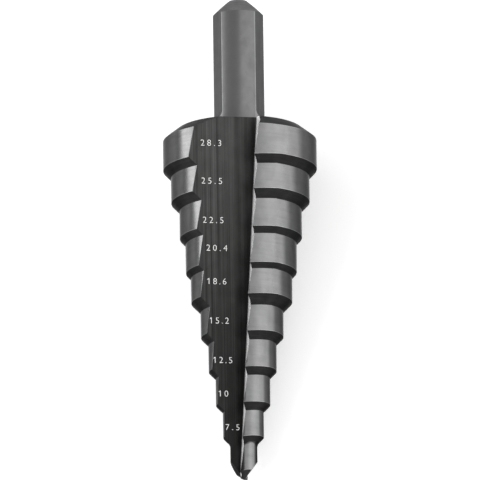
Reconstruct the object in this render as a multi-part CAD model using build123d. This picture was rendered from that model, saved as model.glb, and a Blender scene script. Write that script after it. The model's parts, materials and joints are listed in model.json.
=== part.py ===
from build123d import *
import os
from math import asin, atan2, cos, exp, hypot, radians, sin, tan

# Step drill: one solid bar of tool steel, turned into steps, fluted, and given a flatted shank.
# It is shaped standing on its point at the origin, with +Z towards the shank and one flute
# facing -Y, and is then laid down on its other flute, as it rests on a bench.

# Steps from the point upwards: cutting diameter, and height up to the next cutting corner
STEPS = (
    (5.0, 6.4),
    (7.5, 6.15),
    (10.0, 6.4),
    (12.5, 6.5),
    (15.2, 6.6),
    (18.6, 5.7),
    (20.4, 6.6),
    (22.5, 6.8),
    (25.5, 6.2),
    (28.3, 6.05),
)
SHOULDER_ANGLE = 45.0  # between each shoulder and the axis
SHOULDER_RELIEF = 0.5  # how far a shoulder rises behind its cutting corner
RELIEF_RUN = 6.0  # length of land over which it rises
EDGE_AZIMUTH = -80.0  # middle of the cutting corners, seen along the axis
ROOT_RADIUS = 0.25  # fillet under each shoulder
NOSE_ROOT_RADIUS = 1.5  # larger fillet above the pilot step

# Point
CORNER_HEIGHT = 1.05  # from the tip to the cutting corner of the pilot step
POINT_ANGLE = 135.0
LIP_AZIMUTH = -12.0  # turn of the cutting lip from the flute's middle
LIP_RELIEF = 20.0
HEEL_SLOPE = 53.8  # the second facet, which clears the heel
HEEL_AZIMUTH = 8.4
SPLIT_AZIMUTH = -45.0  # wall of the split between the two lips

# Flutes
FLUTE_ANGLE = 10.24  # slope of the flute floor to the axis
FLUTE_END_ANGLE = 1.7  # slope of the same floor near the point
FLUTE_BEND_HEIGHT = 16.5  # where the two slopes would meet
FLUTE_BEND_RADIUS = 100.0
FLUTE_SKEW = 3.35  # lean of the flute's corner line to one side
WEB_HALF = 0.4  # from the axis to the floor, at the point
CORNER_LEAD = 0.78  # the corner line's distance ahead of centre, at the point
FLOOR_TILT = 9.1  # rise of the floor across the flute, away from the cutting face
HOOK_POINT_CHORD = 1.75  # width of the hollow cutting face at the point
HOOK_FULL_CHORD = 5.35  # width that it nears far behind the point
HOOK_GROWTH = 13.0  # height over which most of that growth is done
HOOK_HOLLOW = 0.14  # depth of the hollow, as a part of its width
FLUTE_SECTIONS = 9
LAND_AZIMUTH = -16.0  # middle of the flute's mouth

# Back of the largest step
BACK_CHAMFER_HEIGHT = 1.95
BACK_CHAMFER_WIDTH = 2.55

# Shank
SHANK_DIAMETER = 9.3
SHANK_LENGTH = 24.6
SHANK_FLATS = 3
FLAT_DEPTH = 0.22
FLAT_RUNOUT = 3.2  # from the back face to where the flats start to run out
RUNOUT_RADIUS = 3.4
END_CHAMFER_WIDTH = 2.95
END_CHAMFER_HEIGHT = 2.75
END_CHAMFER_CROWN = 0.06  # slight bulge of that chamfer, from chord to crest

radii = [diameter / 2 for diameter, _ in STEPS]
corners = [CORNER_HEIGHT]
for _, height in STEPS:
    corners.append(corners[-1] + height)
back_corner = corners.pop()
back_face = back_corner + BACK_CHAMFER_HEIGHT
full_radius = radii[-1]
shank_radius = SHANK_DIAMETER / 2
shank_end = back_face + SHANK_LENGTH
reach = 2 * full_radius
overall = shank_end + reach


def side_block(azimuth):
    """All space on the +X side of a plane through the axis, turned by the azimuth."""
    block = Box(reach, 2 * reach, 2 * overall, align=(Align.MIN, Align.CENTER, Align.CENTER))
    return Rot(0, 0, azimuth) * block


def shoulder(radius, corner):
    """The space above a shoulder, which rises behind the cutting corner and then runs level.

    A cone set off centre, square to the corner's radius, gives the rise, and one on centre the
    level part.
    """
    slope = tan(radians(SHOULDER_ANGLE))
    span = min(RELIEF_RUN / radius, radians(90))
    offset = SHOULDER_RELIEF * slope / sin(span)
    height = overall - corner
    cone = Cone(0, height * slope, height, align=(Align.CENTER, Align.CENTER, Align.MIN))
    foot = corner - radius / slope
    rising = Rot(0, 0, EDGE_AZIMUTH) * Pos(0, -offset, foot) * cone
    level = Pos(0, 0, foot + SHOULDER_RELIEF) * cone
    return rising + level


def stepped_side():
    """The steps on the side that trails one cutting edge."""
    steps = Pos(0, 0, -radii[0]) * Cylinder(
        radii[0], corners[1] + 2 * radii[0], align=(Align.CENTER, Align.CENTER, Align.MIN))
    for index in range(1, len(STEPS)):
        radius = radii[index]
        corner = corners[index]
        top = corners[index + 1] + radius if index + 1 < len(STEPS) else back_face
        low = corner - radius
        barrel = Pos(0, 0, low) * Cylinder(
            radius, min(top, back_face) - low, align=(Align.CENTER, Align.CENTER, Align.MIN))
        steps += barrel & shoulder(radius, corner)
        steps = round_root(steps, index)
    return steps & side_block(LAND_AZIMUTH)


def round_root(steps, index):
    """Fillets the inner edge where a shoulder meets the step below it."""
    inner = radii[index - 1]
    middle = (corners[index - 1] + corners[index]) / 2
    size = NOSE_ROOT_RADIUS if index == 1 else ROOT_RADIUS

    def at_root(edge):
        point = edge @ 0.5
        return abs(hypot(point.X, point.Y) - inner) < 0.01 * inner and point.Z > middle

    return fillet(steps.edges().filter_by(at_root), size)


def flute_corner(height):
    """The corner line between floor and cutting face, before its bend is rounded."""
    depth = WEB_HALF + tan(radians(FLUTE_END_ANGLE)) * height
    if height > FLUTE_BEND_HEIGHT:
        turn = tan(radians(FLUTE_ANGLE)) - tan(radians(FLUTE_END_ANGLE))
        depth += turn * (height - FLUTE_BEND_HEIGHT)
    return (tan(radians(FLUTE_SKEW)) * height - CORNER_LEAD, -depth, height)


def hook_chord(height):
    """The width of the hollow, which grows quickly at the point and then levels out."""
    short_of_full = (HOOK_FULL_CHORD - HOOK_POINT_CHORD) * exp(-height / HOOK_GROWTH)
    return HOOK_FULL_CHORD - short_of_full


def flute_section(path, place):
    """The wheel's outline across the flute: the tilted floor, the hollow, and a straight flank."""
    point = path @ place
    chord = hook_chord(point.Z)
    depth = HOOK_HOLLOW * chord
    radius = (chord**2 / 4 + depth**2) / (2 * depth)
    flank = tan(asin(chord / 2 / radius))
    hollow = ThreePointArc((0, 0), (depth, chord / 2), (0, chord))
    rest = Polyline((0, chord), (-flank * (reach - chord), reach), (-2 * reach, reach),
                    (-2 * reach, 2 * reach * tan(radians(FLOOR_TILT))), (0, 0))
    return Plane(point, x_dir=(1, 0, 0), z_dir=path % place) * make_face(hollow + rest)


def flute():
    """What the wheel grinds away along the corner line, with a hollow that shrinks to the point."""
    path = FilletPolyline(flute_corner(back_face + full_radius), flute_corner(FLUTE_BEND_HEIGHT),
                          flute_corner(-radii[0] / 2), radius=FLUTE_BEND_RADIUS)
    places = [index / (FLUTE_SECTIONS - 1) for index in range(FLUTE_SECTIONS)]
    sections = [flute_section(path, place) for place in places]
    return sweep(sections, path=path, multisection=True)


def below_plane(tilts, azimuth):
    """A block under a plane through the tip."""
    size = 5 * radii[0]
    block = Box(size, size, size, align=(Align.CENTER, Align.CENTER, Align.MAX))
    return Rot(0, 0, azimuth) * tilts * block


def point_grind():
    """What is ground off behind one lip: the lip's own facet and the heel facet."""
    lip = below_plane(Rot(POINT_ANGLE / 2 - 90, -LIP_RELIEF, 0), LIP_AZIMUTH)
    heel = below_plane(Rot(0, -HEEL_SLOPE, 0), HEEL_AZIMUTH)
    return (lip + heel) & side_block(SPLIT_AZIMUTH)


def back_chamfer():
    """The ring that leaves a chamfer behind the largest step."""
    inner = full_radius - BACK_CHAMFER_WIDTH
    ring = Polyline((inner, back_face), (full_radius, back_corner), (reach, back_corner),
                    (reach, back_face), close=True)
    return revolve(make_face(Plane.XZ * ring), Axis.Z)


def shank():
    """A round shank with a long crowned end chamfer and three flats for the chuck's jaws."""
    foot = Vector(shank_radius, shank_end - END_CHAMFER_HEIGHT)
    head = Vector(shank_radius - END_CHAMFER_WIDTH, shank_end)
    outward = Vector(END_CHAMFER_HEIGHT, END_CHAMFER_WIDTH).normalized()
    crest = (foot + head) / 2 + outward * END_CHAMFER_CROWN
    bar_side = Polyline(head, (0, shank_end), (0, corners[-1]), (shank_radius, corners[-1]), foot)
    outline = bar_side + ThreePointArc(foot, crest, head)
    bar = revolve(make_face(Plane.XZ * outline), Axis.Z)
    flat_start = back_face + FLAT_RUNOUT
    distance = shank_radius - FLAT_DEPTH
    low = flat_start - RUNOUT_RADIUS
    wheel = Box(reach, reach, shank_end - low + 1, align=(Align.CENTER, Align.MIN, Align.MIN))
    inner_edge = wheel.edges().filter_by(Axis.X).group_by(Axis.Z)[0].sort_by(Axis.Y)[0]
    wheel = Pos(0, distance, low) * fillet(inner_edge, RUNOUT_RADIUS)
    for index in range(SHANK_FLATS):
        bar -= Rot(0, 0, index * 360 / SHANK_FLATS) * wheel
    return bar


def upright_drill():
    side = stepped_side()
    one_flute = flute()
    one_grind = point_grind()
    for turn in (0, 180):
        side -= Rot(0, 0, turn) * one_flute
        side -= Rot(0, 0, turn) * one_grind
    body = side + Rot(0, 0, 180) * side
    body -= back_chamfer()
    body += shank()
    return body.solid()


def resting_plane(drill):
    """The bench under the drill, when it lies on the flute that faces +Y.

    The bench touches both sides of that flute at the largest step, and one corner nearer the tip.
    """
    points = [Vector(*corner) for corner in drill.vertices()]
    mouth = Vector(0, 1, 0).rotate(Axis.Z, LAND_AZIMUTH)
    beside = Vector(1, 0, 0).rotate(Axis.Z, LAND_AZIMUTH)
    rim = [point for point in points
           if abs(hypot(point.X, point.Y) - full_radius) < 0.01 * full_radius
           and point.Z < (corners[-1] + back_corner) / 2]
    first = max([point for point in rim if point.dot(beside) < 0], key=mouth.dot)
    second = max([point for point in rim if point.dot(beside) > 0], key=mouth.dot)
    chord = (second - first).normalized()
    outward = (mouth - chord * mouth.dot(chord)).normalized()
    forward = chord.cross(outward)
    if forward.Z > 0:
        forward = -forward

    def lean(point):
        offset = point - first
        return atan2(-offset.dot(outward), offset.dot(forward))

    ahead = [point for point in points if (point - first).dot(forward) > full_radius / 2]
    angle = min(lean(point) for point in ahead)
    down = outward * cos(angle) + forward * sin(angle)
    up = -down
    across = Vector(0, 0, 1).cross(up).normalized()
    return Plane(origin=first, x_dir=across, z_dir=up)


def laid_down(drill):
    """The drill on the bench, its shank towards +Y, with the middle of its footprint at the origin."""
    lying = resting_plane(drill).to_local_coords(drill)
    box = lying.bounding_box()
    return Pos(-box.center().X, -box.center().Y, -box.min.Z) * lying


os.makedirs("parts", exist_ok=True)
step_drill = laid_down(upright_drill())
export_step(step_drill, "parts/step_drill.step")
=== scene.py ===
"""Step drill of ground steel, lying on a pale table between three soft boxes."""
import json
from math import atan2, cos, degrees, hypot, pi, radians, sin

import bpy
from mathutils import Matrix, Vector

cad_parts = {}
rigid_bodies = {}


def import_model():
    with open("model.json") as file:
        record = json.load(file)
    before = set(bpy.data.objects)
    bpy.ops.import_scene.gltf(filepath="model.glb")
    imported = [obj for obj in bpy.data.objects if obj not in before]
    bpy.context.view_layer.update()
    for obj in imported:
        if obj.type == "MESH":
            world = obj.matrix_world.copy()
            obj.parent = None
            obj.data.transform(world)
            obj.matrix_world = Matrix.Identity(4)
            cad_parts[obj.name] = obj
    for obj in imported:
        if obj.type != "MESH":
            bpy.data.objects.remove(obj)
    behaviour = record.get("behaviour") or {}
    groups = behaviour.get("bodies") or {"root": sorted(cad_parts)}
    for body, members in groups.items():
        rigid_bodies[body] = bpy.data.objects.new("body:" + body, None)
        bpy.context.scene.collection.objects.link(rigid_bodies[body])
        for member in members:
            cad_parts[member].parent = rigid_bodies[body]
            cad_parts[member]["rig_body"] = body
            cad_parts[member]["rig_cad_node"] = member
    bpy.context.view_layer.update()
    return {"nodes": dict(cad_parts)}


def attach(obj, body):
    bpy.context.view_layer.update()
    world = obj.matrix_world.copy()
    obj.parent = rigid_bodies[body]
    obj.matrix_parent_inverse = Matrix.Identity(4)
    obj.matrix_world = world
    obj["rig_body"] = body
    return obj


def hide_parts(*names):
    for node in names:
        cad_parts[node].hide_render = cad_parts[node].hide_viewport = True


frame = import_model()

bl_info = {
    "name": "Step Drill",
    "version": (1, 0, 0),
    "blender": (4, 5, 0),
    "location": "View3D > Sidebar > Step Drill",
    "description": "Finishes a step drill in ground steel, marks its sizes and sets it on a table",
    "category": "Object",
}

# The drill's own frame as it lies on the table: its tip, and the directions across the upper
# flute, away from that flute's mouth, and along the axis to the shank
TIP = Vector((0.0, -0.0450620, 0.0032581))
ACROSS = Vector((0.9621298, 0.0429775, -0.2691825))
BEHIND = Vector((-0.2725918, 0.1516918, -0.9500965))
ALONG = Vector((0.0, 0.9874930, 0.1576625))
LYING = Matrix((
    (ACROSS.x, BEHIND.x, ALONG.x, TIP.x),
    (ACROSS.y, BEHIND.y, ALONG.y, TIP.y),
    (ACROSS.z, BEHIND.z, ALONG.z, TIP.z),
    (0.0, 0.0, 0.0, 1.0),
))
MM = 0.001

# Heights above the tip, radii and depths, in millimetres in the drill's own frame. The slack is
# what the mesh's own rounding needs.
BACK_CORNER = 64.45
BACK_FACE = 66.4
SHANK_RADIUS = 4.65
FLAT_EDGE_DEPTH = 0.03
FLAT_DEPTH = 0.12
POINT_TOP = 3.2
POINT_RADIUS = 2.6
NOSE_FOOT = 4.5
NOSE_TOP = 7.2
NOSE_RADIUS = 2.4
NOSE_MIDDLE = 1.1
MESH_SLACK = 0.02

# Turns about the axis, in degrees: the middle of the upper flute's mouth, the shank's flats
MOUTH_AZIMUTH = -106.0
FLATS = 3
FLAT_AZIMUTH = 90
FLAT_SPACING = 360 / FLATS
FLAT_TOLERANCE = 2

# The flute's corner line: its place across the drill at the tip, and its lean per millimetre
CORNER_START = -0.78
CORNER_LEAN = 0.0585

# The steps' mean radius: at the tip, its growth per millimetre, and the least share of it that
# a facet of the steps reaches
STEPS_START = 1.2
STEPS_LEAN = 0.2
STEPS_SHARE = 0.9

# How far a face's normal leans towards the shank, by zone
END_SLOPE = 0.3
BACK_SLOPE = 0.4
LAND_SLOPE = 0.12
POINT_SLOPE = -0.3
SHOULDER_SLOPE = -0.22
FILLET_SLOPE = -0.08

# How far it leans away from the axis, by zone, and for the cutting face across the flute
LAND_OUTWARD = 0.99
FILLET_OUTWARD = 0.9
NOSE_OUTWARD = 0.77
SHOULDER_OUTWARD = 0.3
HOOK_ACROSS = -0.45

# Zones of the drill's surface, each with a finish of its own, and some with painted light or shade
# as well
ZONES = ("land", "shoulder", "flute", "hook", "point", "shank", "flat", "end", "back", "edge")

# Tones of painted light and shade, each from one value to another of what it follows, with the
# share of the colour at both, and how much the top of the nose's light patch curves down per square
# millimetre
SHANK_HIGHLIGHT_BESIDE_FLAT = (0.84, 0.89, 1.0, 1.5)
NOSE_SHADE_CURVE = 0.22
NOSE_SHADE_ARCH = (2.66, 2.86, 1.0, 0.22)
NOSE_SHADE_END = (3.15, 3.3, 0.0, 1.0)
LAND_FLANK_SHADE = (0.56, 0.70, 0.43, 1.0)
LAND_SHADE_BESIDE_FLUTE = (0.88, 1.0, 1.0, 0.6)
FLUTE_SHADE_FROM_CORNER = (-0.3, -5.5, 0.5, 1.0)
FLUTE_SHADE_HEIGHT = (15.0, 66.0, 0.5, 1.0)
HOOK_GLINT_FACING = (-0.2, 0.25, 0.35, 1.0)
HOOK_GLINT_FROM_CORNER = (0.03, 0.25, 0.25, 1.0)
HOOK_GLINT_HEIGHT = (0.3, 0.9, 0.12, 1.0)

# Grinding: the part of a noise's range that counts, how much coarser the second set of lines is,
# how fast the mottling varies, and how far mottling and lines move the roughness
NOISE_LOW = 0.3
NOISE_HIGH = 0.7
COARSE_SHARE = 0.3
MOTTLE_STRETCH = (0.55, 0.55, 0.4)
MOTTLE_ROUGHNESS = 0.15
LINE_ROUGHNESS = 0.12

# Body, in metres: what merges, how far below a shoulder's middle its foot begins, and how deep a
# honed edge is sunk, as a share of its width. The angle is the widest that shades smooth.
MERGE_DISTANCE = 0.0000005
FOOT_DROP = 0.000005
HONE_SINK = 0.35
SMOOTH_ANGLE = radians(16)

# Size marks: the words, the height of their middle above the tip, and their place across the flute
MARKS = (
    ("28.3", 61.48, -5.25),
    ("25.5", 54.6, -5.2),
    ("22.5", 47.5, -5.05),
    ("20.4", 42.46, -4.45),
    ("18.6", 36.4, -4.55),
    ("15.2", 29.3, -4.2),
    ("12.5", 22.15, -3.62),
    ("10", 16.0, -3.62),
    ("7.5", 9.77, -2.0),
)

# Figures: a digit's share of the text size, the spacing of the digits, closer after a leading 1,
# and the thinning of their strokes as a share of their height. In metres: how far above the axis
# they are written, how far they are pressed down at least, and how far they stay off the floor
DIGIT_SHARE = 0.72
SPACING = 1.48
SPACING_AFTER_1 = 1.36
THINNING = -0.015
WRITING_LIFT = 0.03
LEAST_PRESS = 0.01
MARK_CLEARANCE = 0.000012

# The upstroke of a leading 1, as shares of the figures' height
FLAG_ASIDE = 0.055
FLAG_DROP = 0.136
FLAG_LENGTH = 0.32
FLAG_WIDTH = 0.11
FLAG_TURN = radians(40)

# Stage, in metres: the lamps with their places, sizes and glow, the height they point at, the
# greys and the lift of the table's white, and the camera's distance and the middle of its view
LAMPS = (
    ("right_box", (0.49, 0.1, 0.36), (1.0, 0.8), 1.03),
    ("left_strip", (-0.53, 0.1, 0.235), (1.3, 0.24), 2.0),
    ("low_box", (-0.35, -0.35, 0.36), (0.25, 0.25), 6.5),
)
LAMP_AIM = 0.1
WORLD_GREY = 0.6
TABLE_SIZE = 8
TABLE_GREY = 0.85
TABLE_LIFT = 0.4
CAMERA_DISTANCE = 1.5
VIEW_MIDDLE = TIP + ALONG * 0.04569 - ACROSS * 0.00018


class DrillFinishAndPaintedLight(bpy.types.PropertyGroup):
    land: bpy.props.FloatVectorProperty(
        name="Lands", description="Ground steel of the steps and the shank",
        subtype="COLOR", size=3, min=0.0, max=1.0, default=(0.24, 0.24, 0.242))
    # The shoulders' and the point's dark colour is painted shade: the lands' steel, darkened for
    # the dark surroundings it reflects
    shoulder: bpy.props.FloatVectorProperty(
        name="Shoulders", description="Dark steel of the shoulders and the point",
        subtype="COLOR", size=3, min=0.0, max=1.0, default=(0.026, 0.026, 0.026))
    flute: bpy.props.FloatVectorProperty(
        name="Flutes", description="Streaked steel of the flute floors",
        subtype="COLOR", size=3, min=0.0, max=1.0, default=(0.053, 0.053, 0.052))
    # The cutting faces' near-white colour is a painted highlight that stands in for their glint
    hook: bpy.props.FloatVectorProperty(
        name="Cutting Faces", description="Bright steel of the hollow cutting faces",
        subtype="COLOR", size=3, min=0.0, max=1.0, default=(0.9, 0.9, 0.9))
    edge_width: bpy.props.FloatProperty(
        name="Honed Edge", description="Width of the honed line along the edges of the lands",
        subtype="DISTANCE", unit="LENGTH", min=0.0, default=0.00009)


class MarkSettings(bpy.types.PropertyGroup):
    height: bpy.props.FloatProperty(
        name="Mark Height", description="Height of the figures in the size marks",
        subtype="DISTANCE", unit="LENGTH", min=0.0005, default=0.00117)
    colour: bpy.props.FloatVectorProperty(
        name="Mark Colour", description="Pale grey of the etched figures",
        subtype="COLOR", size=3, min=0.0, max=1.0, default=(0.95, 0.95, 0.94))


class StageSettings(bpy.types.PropertyGroup):
    pitch: bpy.props.FloatProperty(
        name="Camera Pitch", description="Turn of the camera from square on, towards the tip",
        subtype="ANGLE", unit="ROTATION", default=radians(14.7))
    roll: bpy.props.FloatProperty(
        name="Camera Roll", description="Turn of the camera about its own axis",
        subtype="ANGLE", unit="ROTATION", default=radians(0.77))
    width: bpy.props.FloatProperty(
        name="View Width", description="Width of the table that the camera sees",
        subtype="DISTANCE", unit="LENGTH", default=0.08835)


# ---- materials


def new_material(name):
    """A material with nodes, its node tree and its shader."""
    material = bpy.data.materials.new(name)
    material.use_nodes = True
    return material, material.node_tree, material.node_tree.nodes["Principled BSDF"]


def add(tree, kind, inputs=None, **settings):
    """Adds a node, sets its properties and fills its inputs with values or links."""
    node = tree.nodes.new(kind)
    for name, value in settings.items():
        setattr(node, name, value)
    for key, value in (inputs or {}).items():
        if isinstance(value, bpy.types.NodeSocket):
            tree.links.new(value, node.inputs[key])
        else:
            node.inputs[key].default_value = value
    return node


def maths(tree, operation, *values, **settings):
    """The result of one sum on values or links."""
    return add(tree, "ShaderNodeMath", dict(enumerate(values)), operation=operation,
               **settings).outputs[0]


def times(tree, *factors):
    """Multiplies any number of values."""
    product = factors[0]
    for factor in factors[1:]:
        product = maths(tree, "MULTIPLY", product, factor)
    return product


def scaled(tree, colour, share):
    """A colour times a share."""
    return add(tree, "ShaderNodeVectorMath", {0: tuple(colour), "Scale": share},
               operation="SCALE").outputs[0]


def coordinates(tree, place):
    """The X, Y and Z of a place."""
    return add(tree, "ShaderNodeSeparateXYZ", {"Vector": place}).outputs


def smooth_range(tree, value, start, end, at_start, at_end):
    return add(tree, "ShaderNodeMapRange", {
        "Value": value, "From Min": start, "From Max": end, "To Min": at_start, "To Max": at_end},
        interpolation_type="SMOOTHSTEP").outputs[0]


def noise(tree, place, stretch, detail):
    spread = add(tree, "ShaderNodeVectorMath", {0: place, 1: stretch}, operation="MULTIPLY")
    return add(tree, "ShaderNodeTexNoise", {
        "Vector": spread.outputs[0], "Scale": 1.0, "Detail": detail}).outputs["Fac"]


def spread_between(tree, value, low, high):
    """Maps the middle of a noise onto a range."""
    return add(tree, "ShaderNodeMapRange", {
        "Value": value, "From Min": NOISE_LOW, "From Max": NOISE_HIGH,
        "To Min": low, "To Max": high}).outputs[0]


def spread_about_one(tree, value, swing):
    return spread_between(tree, value, 1 - swing, 1 + swing)


def drill_place(tree):
    """The place of a point on the drill, in millimetres in its own frame."""
    where = add(tree, "ShaderNodeTexCoord").outputs["Object"]
    return add(tree, "ShaderNodeMapping", {
        "Vector": where, "Location": TIP, "Rotation": LYING.to_euler(),
        "Scale": (MM, MM, MM)}, vector_type="TEXTURE").outputs["Vector"]


def round_place(tree, place):
    """Arc length round the axis, radius and height, for lines that run round the drill."""
    own = coordinates(tree, place)
    flat = add(tree, "ShaderNodeCombineXYZ", {"X": own["X"], "Y": own["Y"]}).outputs[0]
    radius = add(tree, "ShaderNodeVectorMath", {0: flat}, operation="LENGTH").outputs["Value"]
    turn = maths(tree, "ARCTAN2", own["Y"], own["X"])
    return add(tree, "ShaderNodeCombineXYZ", {
        "X": times(tree, turn, radius), "Y": radius, "Z": own["Z"]}).outputs[0]


def flute_side(tree, place):
    """One on the lower flute's side of the axis, and minus one on the upper flute's."""
    return maths(tree, "SIGN", coordinates(tree, place)["Y"])


def on_cutting_side(tree, place):
    """The place across the drill, positive towards the cutting face of the nearer flute."""
    return times(tree, coordinates(tree, place)["X"], flute_side(tree, place), -1.0)


def from_corner(tree, place):
    """How far a point of a flute lies from its corner line, on the cutting face's side of it."""
    height = coordinates(tree, place)["Z"]
    line = maths(tree, "MULTIPLY_ADD", height, CORNER_LEAN, CORNER_START)
    return maths(tree, "SUBTRACT", on_cutting_side(tree, place), line)


def shank_painted_highlight(tree, place):
    """A painted highlight: a lighter line down both edges of each round band, beside the flats."""
    own = coordinates(tree, place)
    turn = maths(tree, "ARCTAN2", own["X"], own["Y"])
    wave = maths(tree, "COSINE", times(tree, turn, FLATS / 2))
    return smooth_range(tree, maths(tree, "ABSOLUTE", wave), *SHANK_HIGHLIGHT_BESIDE_FLAT)


def nose_painted_shade(tree, place, radius):
    """Painted shade: dark above a rounded top, in the large fillet above the pilot step, where the
    fillet turns away from the light, and light elsewhere.
    """
    off = maths(tree, "SUBTRACT", on_cutting_side(tree, place), NOSE_MIDDLE)
    arch = maths(tree, "MULTIPLY_ADD", times(tree, off, off), NOSE_SHADE_CURVE, radius)
    return maths(tree, "MAXIMUM", smooth_range(tree, arch, *NOSE_SHADE_ARCH),
                 smooth_range(tree, radius, *NOSE_SHADE_END))


def land_painted_shade(tree, place):
    """Painted shade: bright towards the flutes, a little dimmer at their very edge, and dim on the
    flanks, as if they reflected dark surroundings.
    """
    radius = coordinates(tree, round_place(tree, place))["Y"]
    facing = maths(tree, "ABSOLUTE", maths(tree, "DIVIDE", coordinates(tree, place)["Y"], radius))
    return times(tree, smooth_range(tree, facing, *LAND_FLANK_SHADE),
                 smooth_range(tree, facing, *LAND_SHADE_BESIDE_FLUTE), nose_painted_shade(tree, place, radius))


def flute_painted_shade(tree, place):
    """Painted shade: lighter high up in the flute and away from its corner line, and dark beside
    that line, in the flute's crease.
    """
    return times(tree, smooth_range(tree, from_corner(tree, place), *FLUTE_SHADE_FROM_CORNER),
                 smooth_range(tree, coordinates(tree, place)["Z"], *FLUTE_SHADE_HEIGHT))


def hook_painted_glint(tree, place):
    """A painted highlight: near white in the root of the hollow, where it faces out of the flute,
    and grey at the corner line and out to the edge.
    """
    normal = add(tree, "ShaderNodeTexCoord").outputs["Normal"]
    behind = add(tree, "ShaderNodeVectorMath", {0: normal, 1: BEHIND},
                 operation="DOT_PRODUCT").outputs["Value"]
    facing = times(tree, behind, flute_side(tree, place))
    return times(tree, smooth_range(tree, facing, *HOOK_GLINT_FACING),
                 smooth_range(tree, from_corner(tree, place), *HOOK_GLINT_FROM_CORNER),
                 smooth_range(tree, coordinates(tree, place)["Z"], *HOOK_GLINT_HEIGHT))


def steel(name, colour, roughness, stretch, mottle=0.12, lines=0.2, depth=0.006, round_lines=False,
          metallic=1.0, rim=0.4, tone=None):
    """Ground steel with grinding lines that run where the stretch is small, faint mottling, and the
    painted light or shade of its tone, if it has one.
    """
    material, tree, shader = new_material(name)
    place = drill_place(tree)
    ground = round_place(tree, place) if round_lines else place
    fine = noise(tree, ground, stretch, detail=4.0)
    coarse = noise(tree, ground, [size * COARSE_SHARE for size in stretch], detail=2.0)
    cloud = noise(tree, place, MOTTLE_STRETCH, detail=5.0)
    factors = [spread_about_one(tree, fine, lines), spread_about_one(tree, coarse, lines),
               spread_about_one(tree, cloud, mottle)]
    if tone:
        factors.append(tone(tree, place))
    tree.links.new(scaled(tree, colour, times(tree, *factors)), shader.inputs["Base Color"])
    rough = times(tree, roughness, spread_about_one(tree, cloud, -MOTTLE_ROUGHNESS),
                  spread_about_one(tree, fine, -LINE_ROUGHNESS))
    tree.links.new(rough, shader.inputs["Roughness"])
    bump = add(tree, "ShaderNodeBump", {"Height": fine, "Strength": 1.0, "Distance": depth * MM})
    tree.links.new(bump.outputs[0], shader.inputs["Normal"])
    shader.inputs["Metallic"].default_value = metallic
    shader.inputs["Specular Tint"].default_value = (rim, rim, rim, 1)
    return material


def mark_paint(colour):
    material, tree, shader = new_material("etched_figures")
    grain = noise(tree, drill_place(tree), (9.0, 9.0, 9.0), detail=3.0)
    tint = scaled(tree, colour, spread_between(tree, grain, 0.75, 1.15))
    tree.links.new(tint, shader.inputs["Base Color"])
    shader.inputs["Roughness"].default_value = 0.6
    shader.inputs["Specular IOR Level"].default_value = 0.3
    return material


# ---- pieces


def set_mode(mode):
    bpy.ops.object.mode_set(mode=mode)


def deselect_all():
    if bpy.context.object and bpy.context.object.mode != "OBJECT":
        set_mode("OBJECT")
    bpy.ops.object.select_all(action="DESELECT")


def deselect_mesh(kind):
    """Clears the selection in edit mode, and selects by faces or vertices from here on."""
    set_mode("EDIT")
    bpy.ops.mesh.select_mode(type=kind)
    bpy.ops.mesh.select_all(action="DESELECT")
    set_mode("OBJECT")


def on_flat(normal):
    """Whether a normal points the way of one of the shank's flats."""
    turn = degrees(atan2(normal.y, normal.x)) - FLAT_AZIMUTH
    return abs((turn + FLAT_SPACING / 2) % FLAT_SPACING - FLAT_SPACING / 2) < FLAT_TOLERANCE


def shank_zone(radius, normal):
    if normal.z > END_SLOPE:
        return "end"
    if radius < SHANK_RADIUS - FLAT_DEPTH:
        return "flat"
    return "flat" if radius < SHANK_RADIUS - FLAT_EDGE_DEPTH and on_flat(normal) else "shank"


def zone_of(middle, normal):
    """The zone of a face, from its middle and its normal in the drill's own frame."""
    x, y, z = middle
    radius = hypot(x, y)
    outward = (x * normal.x + y * normal.y) / max(radius, 1e-6)
    if z > BACK_FACE + MESH_SLACK:
        return shank_zone(radius, normal)
    if normal.z > BACK_SLOPE and z > BACK_CORNER - MESH_SLACK:
        return "back"
    if outward > LAND_OUTWARD and abs(normal.z) < LAND_SLOPE:
        return "land"
    if z < POINT_TOP and normal.z < POINT_SLOPE and radius < POINT_RADIUS:
        return "point"
    if NOSE_FOOT < z < NOSE_TOP and outward > NOSE_OUTWARD and radius > NOSE_RADIUS:
        return "land"
    if outward > SHOULDER_OUTWARD and normal.z < SHOULDER_SLOPE:
        return "shoulder"
    on_steps = radius > STEPS_SHARE * (STEPS_START + STEPS_LEAN * z)
    if on_steps and outward > FILLET_OUTWARD and normal.z < FILLET_SLOPE:
        return "shoulder"
    side = x * cos(radians(MOUTH_AZIMUTH)) + y * sin(radians(MOUTH_AZIMUTH))
    across = normal.x if side > 0 else -normal.x
    return "hook" if across < HOOK_ACROSS else "flute"


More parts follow.
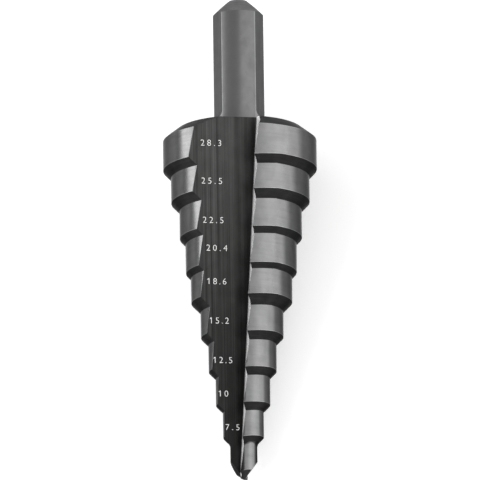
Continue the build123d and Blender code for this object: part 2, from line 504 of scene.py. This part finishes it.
class DRILL_OT_body(bpy.types.Operator):
    """Copy the drill from its CAD solid, hone its lands' edges and give each zone its finish, with
    painted light and shade on some
    """
    bl_idname = "drill.body"
    bl_label = "Finish the Drill"

    def execute(self, context):
        finish = context.scene.drill_finish
        solid = frame["nodes"]["step_drill"]
        deselect_all()
        solid.select_set(True)
        context.view_layer.objects.active = solid
        bpy.ops.object.duplicate()
        drill = context.active_object
        drill.name = "drill_body"
        drill.parent = None
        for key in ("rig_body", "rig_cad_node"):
            if key in drill:
                del drill[key]
        drill.data.materials.clear()
        for material in self.finishes_and_painted_light(finish):
            drill.data.materials.append(material)

        set_mode("EDIT")
        bpy.ops.mesh.select_all(action="SELECT")
        bpy.ops.mesh.customdata_custom_splitnormals_clear()
        bpy.ops.mesh.remove_doubles(threshold=MERGE_DISTANCE)
        set_mode("OBJECT")
        self.set_zones(drill.data)
        self.hone(drill.data, finish.edge_width)
        bpy.ops.object.shade_smooth_by_angle(angle=SMOOTH_ANGLE)
        weighted = drill.modifiers.new("even_faces", "WEIGHTED_NORMAL")
        weighted.keep_sharp = True
        bpy.ops.object.modifier_apply(modifier=weighted.name)
        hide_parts("step_drill")
        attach(drill, "root")
        return {"FINISHED"}

    def finishes_and_painted_light(self, finish):
        """A material for each zone, in the order of the zones; several carry painted light or
        shade.
        """
        land = Vector(finish.land)
        dark = Vector(finish.shoulder)
        made = {
            # Lands: ground steel, with painted shade on the flanks, beside the flutes and in the
            # nose's fillet
            "land": steel("ground_land_painted_shade", land, 0.22, (0.25, 2.0, 5.0), lines=0.04, mottle=0.09,
                          depth=0.0015, round_lines=True, tone=land_painted_shade),
            # Shoulders: their dark colour is painted shade
            "shoulder": steel("shoulder_painted_shade", dark, 0.42, (0.3, 6.0, 6.0), lines=0.1,
                              depth=0.002, round_lines=True),
            # Flutes: streaked steel, with painted shade along the corner line and low down
            "flute": steel("streaked_flute_painted_shade", finish.flute, 0.34, (6.5, 0.1, 0.015), lines=0.27,
                           mottle=0.04, depth=0.003, tone=flute_painted_shade),
            # Cutting faces: their near-white colour and its tone by facing are a painted glint
            "hook": steel("hook_steel_painted_glint", finish.hook, 0.35, (5.0, 5.0, 2.0), lines=0.12,
                          depth=0.001, metallic=0.3, rim=1.0, tone=hook_painted_glint),
            # Point: its dark colour is painted shade
            "point": steel("point_painted_shade", dark, 0.36, (3.0, 3.0, 1.0), lines=0.15, depth=0.003),
            # Round shank: ground steel, with painted highlight lines down the edges beside the
            # flats
            "shank": steel("shank_round_painted_highlight", 0.68 * land, 0.42, (0.3, 2.0, 0.5), lines=0.02,
                           mottle=0.06, depth=0.0003, round_lines=True, tone=shank_painted_highlight),
            "flat": steel("shank_flat", 0.46 * land, 0.34, (5.0, 5.0, 0.1), lines=0.08,
                          mottle=0.06, depth=0.0015),
            "end": steel("shank_end", 0.7 * land, 0.34, (0.3, 5.0, 5.0), lines=0.1, depth=0.002,
                         round_lines=True),
            "back": steel("back_face", 0.28 * land, 0.36, (0.3, 5.0, 5.0), lines=0.1, depth=0.002,
                          round_lines=True),
            # Honed edges: real sunk strips; their brighter colour is a painted highlight, under the
            # lands' painted shade
            "edge": steel("honed_edge_and_painted_highlight", 1.6 * land, 0.3, (1.0, 1.0, 1.0), lines=0.1,
                          depth=0.0005, tone=land_painted_shade),
        }
        return [made[zone] for zone in ZONES]

    def set_zones(self, mesh):
        own = LYING.inverted()
        turn = own.to_3x3()
        for face in mesh.polygons:
            zone = zone_of(own @ face.center / MM, turn @ face.normal)
            face.material_index = ZONES.index(zone)

    def hone(self, mesh, width):
        """Sets a thin strip off round every land, and sinks its rim, which breaks its edges."""
        land = ZONES.index("land")
        deselect_mesh("FACE")
        for face in mesh.polygons:
            face.select = face.material_index == land
        set_mode("EDIT")
        bpy.ops.mesh.inset(thickness=width, depth=0, use_boundary=True, use_even_offset=False)
        set_mode("OBJECT")
        strips = [face for face in mesh.polygons if face.material_index == land and not face.select]
        others = [face for face in mesh.polygons if face.material_index != land]
        rim = {vertex for face in strips for vertex in face.vertices}
        rim &= {vertex for face in others for vertex in face.vertices}
        rim -= self.foot(mesh)
        for face in strips:
            # These strips take the edge material, whose brighter colour is a painted highlight
            if rim.intersection(face.vertices):
                face.material_index = ZONES.index("edge")
        deselect_mesh("VERT")
        for vertex in rim:
            mesh.vertices[vertex].select = True
        set_mode("EDIT")
        bpy.ops.transform.shrink_fatten(value=-HONE_SINK * width)
        set_mode("OBJECT")

    def foot(self, mesh):
        """The vertices at the foot of a shoulder, where the land of the next step begins."""
        height = [vertex.co.dot(ALONG) for vertex in mesh.vertices]
        shoulder = ZONES.index("shoulder")
        return {vertex for face in mesh.polygons if face.material_index == shoulder
                for vertex in face.vertices if height[vertex] < face.center.dot(ALONG) - FOOT_DROP}


class DRILL_OT_marks(bpy.types.Operator):
    """Mark the sizes of the steps on the floor of the upper flute"""
    bl_idname = "drill.marks"
    bl_label = "Mark the Sizes"

    def execute(self, context):
        settings = context.scene.drill_marks
        drill = bpy.data.objects["drill_body"]
        made = [self.figure(context, settings.height, drill, *mark) for mark in MARKS]
        deselect_all()
        for figure in made:
            figure.select_set(True)
        context.view_layer.objects.active = made[0]
        bpy.ops.object.join()
        marks = context.active_object
        marks.name = "size_marks"
        marks.data.materials.clear()
        marks.data.materials.append(mark_paint(settings.colour))
        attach(marks, "root")
        return {"FINISHED"}

    def figure(self, context, size, drill, words, height, across):
        """One size, written square above the flute and pressed down onto its floor."""
        leading_1 = words.startswith("1")
        deselect_all()
        bpy.ops.object.text_add()
        text = context.active_object
        text.data.body = words
        text.data.align_x = "CENTER"
        text.data.align_y = "CENTER"
        text.data.size = size / DIGIT_SHARE
        text.data.space_character = SPACING_AFTER_1 if leading_1 else SPACING
        text.data.offset = THINNING * size
        text.data.resolution_u = 3
        bpy.ops.object.convert(target="MESH")
        figure = context.active_object
        if leading_1:
            self.add_flag(context, figure, size)
        figure.location = TIP + ACROSS * across * MM + ALONG * height * MM - BEHIND * WRITING_LIFT
        square = Matrix((ACROSS, ALONG, -BEHIND)).transposed()
        figure.rotation_euler = square.to_euler()
        press = figure.modifiers.new("press", "SHRINKWRAP")
        press.target = drill
        press.wrap_method = "PROJECT"
        press.wrap_mode = "ABOVE_SURFACE"
        press.use_project_z = True
        press.use_positive_direction = False
        press.use_negative_direction = True
        press.offset = MARK_CLEARANCE
        bpy.ops.object.modifier_apply(modifier=press.name)
        if max(vertex.co.z for vertex in figure.data.vertices) > -LEAST_PRESS:
            raise RuntimeError(f"{words} misses the flute")
        bpy.ops.object.transform_apply()
        return figure

    def add_flag(self, context, figure, size):
        """Gives a leading 1 its short upstroke."""
        left = min(vertex.co.x for vertex in figure.data.vertices)
        top = max(vertex.co.y for vertex in figure.data.vertices)
        place = (left - FLAG_ASIDE * size, top - FLAG_DROP * size, 0)
        bpy.ops.mesh.primitive_plane_add(size=1, location=place, rotation=(0, 0, FLAG_TURN))
        flag = context.active_object
        flag.scale = (FLAG_LENGTH * size, FLAG_WIDTH * size, 1)
        bpy.ops.object.transform_apply()
        figure.select_set(True)
        context.view_layer.objects.active = figure
        bpy.ops.object.join()


class DRILL_OT_stage(bpy.types.Operator):
    """Set the table, the soft boxes and the camera"""
    bl_idname = "drill.stage"
    bl_label = "Set the Stage"

    def execute(self, context):
        self.set_table(context)
        self.set_camera(context)
        self.set_lamps(context)
        context.scene.view_settings.view_transform = "Standard"
        return {"FINISHED"}

    def set_table(self, context):
        deselect_all()
        bpy.ops.mesh.primitive_plane_add(size=TABLE_SIZE, location=(0, 0, 0))
        table = context.active_object
        table.name = "table"
        table.data.materials.append(self.table_paint())

    def table_paint(self):
        """Pale paint that the camera, gloss and glass see brighter, so that it reads as white."""
        paint, tree, shader = new_material("white_table")
        shader.inputs["Base Color"].default_value = (TABLE_GREY, TABLE_GREY, TABLE_GREY, 1)
        shader.inputs["Roughness"].default_value = 0.9
        shader.inputs["Specular IOR Level"].default_value = 0.1
        rays = add(tree, "ShaderNodeLightPath").outputs
        seen = maths(tree, "ADD", rays["Is Camera Ray"], rays["Is Glossy Ray"])
        seen = maths(tree, "ADD", seen, rays["Is Transmission Ray"], use_clamp=True)
        glow = add(tree, "ShaderNodeEmission", {"Strength": times(tree, seen, TABLE_LIFT)})
        both = add(tree, "ShaderNodeAddShader", {0: shader.outputs[0], 1: glow.outputs[0]})
        tree.links.new(both.outputs[0], tree.nodes["Material Output"].inputs["Surface"])
        return paint

    def set_camera(self, context):
        stage = context.scene.drill_stage
        toward = (-BEHIND * cos(stage.pitch) - ALONG * sin(stage.pitch)).normalized()
        upright = (ALONG - toward * ALONG.dot(toward)).normalized()
        beside = upright.cross(toward)
        up = upright * cos(stage.roll) + beside * sin(stage.roll)
        side = up.cross(toward)
        place = VIEW_MIDDLE + toward * CAMERA_DISTANCE
        bpy.ops.object.camera_add(location=place)
        camera = context.active_object
        camera.matrix_world = Matrix((
            (side.x, up.x, toward.x, place.x),
            (side.y, up.y, toward.y, place.y),
            (side.z, up.z, toward.z, place.z),
            (0, 0, 0, 1)))
        camera.data.type = "ORTHO"
        camera.data.ortho_scale = stage.width
        context.scene.camera = camera

    def set_lamps(self, context):
        """Rectangular lamps beside the drill, turned to its axis, in a grey world."""
        for name, place, (wide, tall), glow in LAMPS:
            bpy.ops.object.light_add(type="AREA", location=place)
            lamp = context.active_object
            lamp.name = name
            lamp.data.shape = "RECTANGLE"
            lamp.data.size = wide
            lamp.data.size_y = tall
            lamp.data.energy = glow * pi * wide * tall
            away = Vector((place[0], 0, place[2] - LAMP_AIM)).normalized()
            side = Vector((0, 1, 0))
            lamp.rotation_euler = Matrix((side, away.cross(side), away)).transposed().to_euler()
        world = bpy.data.worlds.new("studio")
        world.use_nodes = True
        background = world.node_tree.nodes["Background"]
        background.inputs["Color"].default_value = (WORLD_GREY, WORLD_GREY, WORLD_GREY, 1)
        context.scene.world = world


class DRILL_PT_panel(bpy.types.Panel):
    """Lists the drill's finish with its painted light and shade, its marks and its stage"""
    bl_label = "Step Drill"
    bl_idname = "DRILL_PT_panel"
    bl_space_type = "VIEW_3D"
    bl_region_type = "UI"
    bl_category = "Step Drill"

    def draw(self, context):
        scene = context.scene
        for settings, operator in (
                (scene.drill_finish, DRILL_OT_body),
                (scene.drill_marks, DRILL_OT_marks),
                (scene.drill_stage, DRILL_OT_stage)):
            box = self.layout.box()
            for name in type(settings).__annotations__:
                box.prop(settings, name)
            box.operator(operator.bl_idname)


CLASSES = (DrillFinishAndPaintedLight, MarkSettings, StageSettings, DRILL_OT_body, DRILL_OT_marks, DRILL_OT_stage,
           DRILL_PT_panel)


def register():
    for cls in CLASSES:
        bpy.utils.register_class(cls)
    bpy.types.Scene.drill_finish = bpy.props.PointerProperty(type=DrillFinishAndPaintedLight)
    bpy.types.Scene.drill_marks = bpy.props.PointerProperty(type=MarkSettings)
    bpy.types.Scene.drill_stage = bpy.props.PointerProperty(type=StageSettings)


def unregister():
    del bpy.types.Scene.drill_stage
    del bpy.types.Scene.drill_marks
    del bpy.types.Scene.drill_finish
    for cls in reversed(CLASSES):
        bpy.utils.unregister_class(cls)


def main():
    register()
    bpy.ops.drill.body()
    bpy.ops.drill.marks()
    bpy.ops.drill.stage()


if __name__ == "__main__":
    main()
